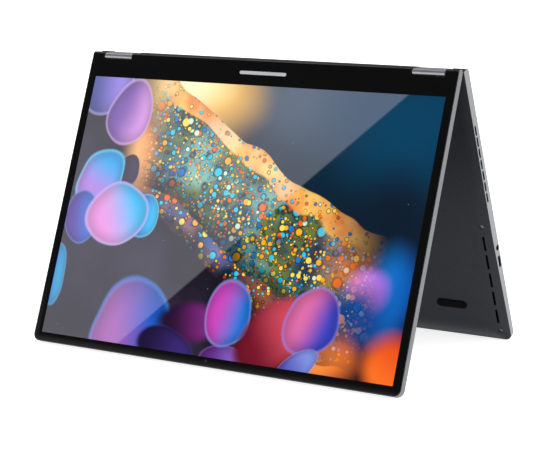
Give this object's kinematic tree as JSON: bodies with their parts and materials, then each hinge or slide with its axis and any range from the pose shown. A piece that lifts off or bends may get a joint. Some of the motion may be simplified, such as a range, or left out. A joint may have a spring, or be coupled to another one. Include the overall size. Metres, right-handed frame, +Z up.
{
  "type": "laptop computer",
  "caption": "Slim laptop computer whose lid folds right round on twin geared hinges, standing as a tent with the screen outside and the keyboard behind.",
  "frame": {"origin": "bottom centre of the bounding box, on the floor the laptop stands on", "axes": "+X along the hinge towards the side with the vents and the audio socket, +Y from the screen side to the keyboard side, +Z up"},
  "size_m": [0.298, 0.1712, 0.2006],
  "materials": {
    "case_metal": "satin anodised",
    "lid_metal": "satin anodised",
    "cover_metal": "dark matte coat",
    "hinge_metal": "satin",
    "steel": "brushed",
    "brass": "plain",
    "screw_steel": "dark",
    "foot_rubber": "matte",
    "key_plastic": "fine texture",
    "touch_glass": "satin, opaque",
    "screen_glass": "gloss, black border",
    "dark_plastic": "matte",
    "light_plastic": "matte",
    "board": "solder mask",
    "copper": "plain",
    "fin_metal": "plain",
    "display": "gloss",
    "socket_metal": "plain",
    "rubber_seal": "matte"
  },
  "bodies": {
    "base": {"top_case": "case_metal", "bottom_cover": "cover_metal", "bottom_screws": "screw_steel", "front_feet": "foot_rubber", "rear_feet": "foot_rubber", "keyboard_backplate": "steel", "keyboard_membrane": "light_plastic", "key_scissors": "light_plastic", "mainboard": "board", "processor_spreader": "copper", "heat_pipe": "copper", "heat_sink_fins": "fin_metal", "fan_housing": "dark_plastic", "battery_pack": "dark_plastic", "ssd_module": "board", "radio_card": "board", "left_speaker": "dark_plastic", "right_speaker": "dark_plastic", "left_side_board": "board", "right_side_board": "board", "audio_jack": "dark_plastic", "left_usb_c_port": "socket_metal", "right_usb_c_port": "socket_metal", "card_reader": "socket_metal", "base_hinge_brackets": "steel", "base_hinge_shafts": "steel", "base_hinge_screws": "screw_steel"},
    "hinge_link": {"left_hinge_cover": "hinge_metal", "right_hinge_cover": "hinge_metal", "hinge_bearing_plates": "steel", "hinge_friction_discs": "steel"},
    "lower_idlers": {"lower_idler_gears": "brass"},
    "upper_idlers": {"upper_idler_gears": "brass"},
    "lid": {"lid_cover": "lid_metal", "cover_glass": "screen_glass", "glass_gasket": "rubber_seal", "lcd_panel": "display", "backlight_tray": "light_plastic", "display_board": "board", "camera_module": "dark_plastic", "lid_hinge_brackets": "steel", "lid_hinge_shafts": "steel", "lid_hinge_screws": "screw_steel"},
    "key_row_function_body": {"key_row_function": "key_plastic"},
    "key_row_numbers_body": {"key_row_numbers": "key_plastic"},
    "key_row_upper_body": {"key_row_upper": "key_plastic"},
    "key_row_home_body": {"key_row_home": "key_plastic"},
    "key_row_lower_body": {"key_row_lower": "key_plastic"},
    "key_row_modifiers_body": {"key_row_modifiers": "key_plastic"},
    "space_bar_body": {"space_bar": "key_plastic"},
    "enter_key_body": {"enter_key": "key_plastic"},
    "backspace_key_body": {"backspace_key": "key_plastic"},
    "left_shift_key_body": {"left_shift_key": "key_plastic"},
    "right_shift_key_body": {"right_shift_key": "key_plastic"},
    "arrow_keys_body": {"arrow_keys": "key_plastic"},
    "power_key_body": {"power_key": "key_plastic"},
    "touchpad_body": {"touchpad": "touch_glass", "touchpad_board": "board"},
    "fan_rotor_body": {"fan_rotor": "dark_plastic"}
  },
  "joints": [
    {"name": "base_shaft_turn", "type": "hinge", "parent": "base", "child": "hinge_link", "pos_m": [0, 0.0067, 0.19746], "axis": [1, 0, 0], "range_deg": [-158.28, 21.71]},
    {"name": "lid_shaft_turn", "type": "hinge", "parent": "hinge_link", "child": "lid", "pos_m": [0, -0.001, 0.1976], "axis": [1, 0, 0], "range_deg": [-158.28, 21.71]},
    {"name": "lower_idler_spin", "type": "hinge", "parent": "hinge_link", "child": "lower_idlers", "pos_m": [0, 0.00413, 0.19751], "axis": [1, 0, 0], "range_deg": [-158.28, 21.71]},
    {"name": "upper_idler_spin", "type": "hinge", "parent": "hinge_link", "child": "upper_idlers", "pos_m": [0, 0.00156, 0.19755], "axis": [1, 0, 0], "range_deg": [-21.71, 158.28]},
    {"name": "key_row_function_press", "type": "slide", "parent": "base", "child": "key_row_function_body", "axis": [0, -0.9352, -0.354], "range_m": [0, 0.0011], "stiffness_N_per_m": 5600, "springref_m": -0.0005},
    {"name": "key_row_numbers_press", "type": "slide", "parent": "base", "child": "key_row_numbers_body", "axis": [0, -0.9352, -0.354], "range_m": [0, 0.0011], "stiffness_N_per_m": 5200, "springref_m": -0.0005},
    {"name": "key_row_upper_press", "type": "slide", "parent": "base", "child": "key_row_upper_body", "axis": [0, -0.9352, -0.354], "range_m": [0, 0.0011], "stiffness_N_per_m": 5600, "springref_m": -0.0005},
    {"name": "key_row_home_press", "type": "slide", "parent": "base", "child": "key_row_home_body", "axis": [0, -0.9352, -0.354], "range_m": [0, 0.0011], "stiffness_N_per_m": 4800, "springref_m": -0.0005},
    {"name": "key_row_lower_press", "type": "slide", "parent": "base", "child": "key_row_lower_body", "axis": [0, -0.9352, -0.354], "range_m": [0, 0.0011], "stiffness_N_per_m": 4000, "springref_m": -0.0005},
    {"name": "key_row_modifiers_press", "type": "slide", "parent": "base", "child": "key_row_modifiers_body", "axis": [0, -0.9352, -0.354], "range_m": [0, 0.0011], "stiffness_N_per_m": 2400, "springref_m": -0.0005},
    {"name": "space_bar_press", "type": "slide", "parent": "base", "child": "space_bar_body", "axis": [0, -0.9352, -0.354], "range_m": [0, 0.0011], "stiffness_N_per_m": 400, "springref_m": -0.0005},
    {"name": "enter_key_press", "type": "slide", "parent": "base", "child": "enter_key_body", "axis": [0, -0.9352, -0.354], "range_m": [0, 0.0011], "stiffness_N_per_m": 400, "springref_m": -0.0005},
    {"name": "backspace_key_press", "type": "slide", "parent": "base", "child": "backspace_key_body", "axis": [0, -0.9352, -0.354], "range_m": [0, 0.0011], "stiffness_N_per_m": 400, "springref_m": -0.0005},
    {"name": "left_shift_key_press", "type": "slide", "parent": "base", "child": "left_shift_key_body", "axis": [0, -0.9352, -0.354], "range_m": [0, 0.0011], "stiffness_N_per_m": 400, "springref_m": -0.0005},
    {"name": "right_shift_key_press", "type": "slide", "parent": "base", "child": "right_shift_key_body", "axis": [0, -0.9352, -0.354], "range_m": [0, 0.0011], "stiffness_N_per_m": 400, "springref_m": -0.0005},
    {"name": "arrow_keys_press", "type": "slide", "parent": "base", "child": "arrow_keys_body", "axis": [0, -0.9352, -0.354], "range_m": [0, 0.0011], "stiffness_N_per_m": 1600, "springref_m": -0.0005},
    {"name": "power_key_press", "type": "slide", "parent": "base", "child": "power_key_body", "axis": [0, -0.9352, -0.354], "range_m": [0, 0.0006], "stiffness_N_per_m": 400, "springref_m": -0.0005},
    {"name": "touchpad_click", "type": "hinge", "parent": "base", "child": "touchpad_body", "pos_m": [0, 0.05686, 0.07553], "axis": [-1, 0, 0], "range_deg": [0, 0.35], "stiffness_Nm_per_rad": 16, "springref_deg": -0.17},
    {"name": "fan_spin", "type": "hinge", "parent": "base", "child": "fan_rotor_body", "pos_m": [0.094, 0.02965, 0.13344], "axis": [0, 0.9352, 0.354], "continuous": true}
  ],
  "couplings": [
    {"joint": "lid_shaft_turn", "follows": "base_shaft_turn", "ratio": 1},
    {"joint": "lower_idler_spin", "follows": "base_shaft_turn", "ratio": 1},
    {"joint": "upper_idler_spin", "follows": "base_shaft_turn", "ratio": -1}
  ]
}
